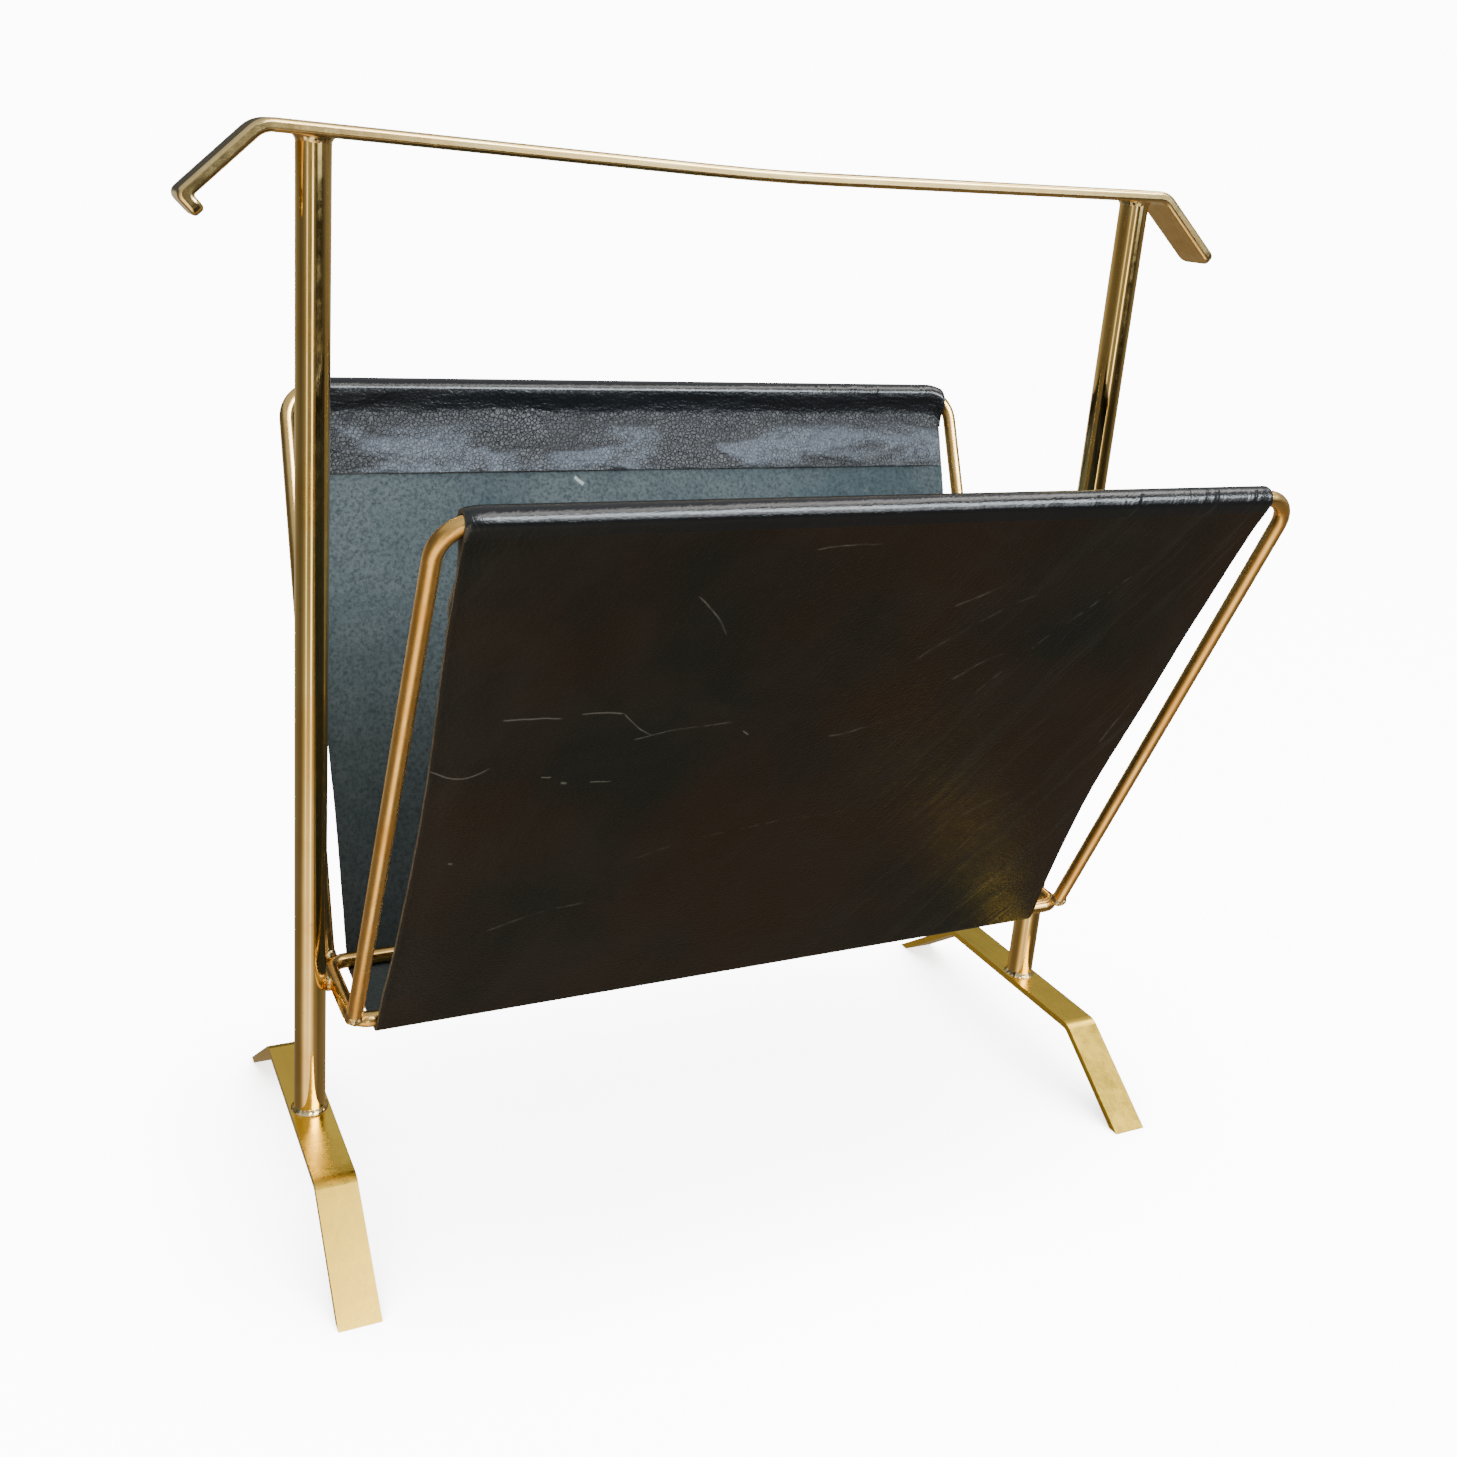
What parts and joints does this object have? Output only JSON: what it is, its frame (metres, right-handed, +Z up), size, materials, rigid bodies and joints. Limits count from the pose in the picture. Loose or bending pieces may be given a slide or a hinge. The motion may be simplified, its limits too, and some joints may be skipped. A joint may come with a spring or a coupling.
{
  "type": "magazine rack",
  "caption": "Brass magazine rack: two posts on bent strip feet, a long bent strip handle, and a V-shaped leather sling hung on slim rod frames.",
  "frame": {"origin": "on the floor, under the middle of the basket's bottom ring", "axes": "+X along the handle to the right, -Y to the front, +Z up"},
  "size_m": [0.4295, 0.239, 0.4026],
  "materials": {
    "post_brass": "aged, drawn, satin to bright",
    "strip_brass": "aged, worn bright on the edges",
    "rod_brass": "aged, drawn, satin",
    "braze": "beaded, bright",
    "leather": "black, satin outside, grey-blue flesh side inside, scuffed",
    "cement": "matt"
  },
  "bodies": {
    "root": {"left_post": "post_brass", "right_post": "post_brass", "handle_strip": "strip_brass", "left_foot": "strip_brass", "right_foot": "strip_brass", "bottom_ring": "rod_brass", "front_frame": "rod_brass", "back_frame": "rod_brass", "leather_sling": "leather", "front_hem_cement": "cement", "back_hem_cement": "cement", "left_post_foot_braze": "braze", "left_post_handle_braze": "braze", "left_post_ring_braze": "braze", "front_left_frame_braze": "braze", "back_left_frame_braze": "braze", "right_post_foot_braze": "braze", "right_post_handle_braze": "braze", "right_post_ring_braze": "braze", "front_right_frame_braze": "braze", "back_right_frame_braze": "braze"}
  },
  "joints": []
}
